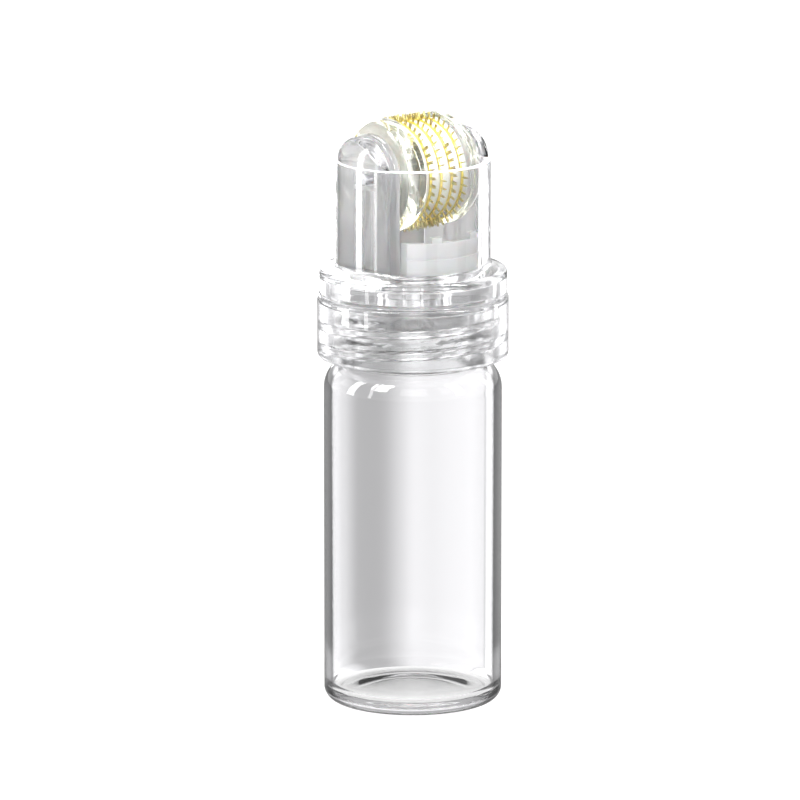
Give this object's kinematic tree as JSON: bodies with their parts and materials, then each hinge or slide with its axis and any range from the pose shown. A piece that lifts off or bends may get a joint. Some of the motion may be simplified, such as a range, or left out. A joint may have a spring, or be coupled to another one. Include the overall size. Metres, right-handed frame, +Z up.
{
  "type": "derma roller",
  "caption": "Clear serum derma roller: glass vial, screw-on head with two domed posts, and a drum of gold needle discs that rolls between them.",
  "frame": {"origin": "middle of the vial's underside, in the plane it stands on", "axes": "+Z up along the vial, +X along the drum's axle, +Y across it"},
  "size_m": [0.0268, 0.0268, 0.0837],
  "materials": {
    "vial_glass": "polished clear glass",
    "clear_plastic": "polished water-clear plastic",
    "tinted_plastic": "polished plastic with a faint yellow-green tint",
    "frosted_plastic": "frosted white translucent plastic",
    "silicone": "translucent silicone",
    "gold_plate": "gold-plated metal",
    "steel": "turned steel"
  },
  "bodies": {
    "vial": {"glass_vial": "vial_glass"},
    "seal": {"neck_gasket": "silicone"},
    "head": {"screw_collar": "clear_plastic", "head_housing": "clear_plastic", "drum_fork": "clear_plastic", "flow_insert": "frosted_plastic", "dosing_plug": "frosted_plastic", "axle_pin": "steel"},
    "drum": {"drum_core": "tinted_plastic", "left_flange": "tinted_plastic", "right_flange": "tinted_plastic", "needle_disc_1": "gold_plate", "needle_disc_2": "gold_plate", "needle_disc_3": "gold_plate", "needle_disc_4": "gold_plate", "spacer_ring_1": "tinted_plastic", "spacer_ring_2": "tinted_plastic", "spacer_ring_3": "tinted_plastic", "spacer_ring_4": "tinted_plastic", "spacer_ring_5": "tinted_plastic"}
  },
  "joints": [
    {"name": "head_lift", "type": "slide", "parent": "vial", "child": "seal", "axis": [0, 0, 1], "range_m": [0, 0.0092]},
    {"name": "head_unscrew", "type": "hinge", "parent": "seal", "child": "head", "pos_m": [0, 0, 0.0585], "axis": [0, 0, 1], "range_deg": [0, 1080]},
    {"name": "drum_spin", "type": "hinge", "parent": "head", "child": "drum", "pos_m": [0, 0, 0.0753], "axis": [1, 0, 0], "continuous": true}
  ],
  "couplings": [
    {"joint": "head_lift", "follows": "head_unscrew", "m_per_rad": 0.00047746}
  ]
}
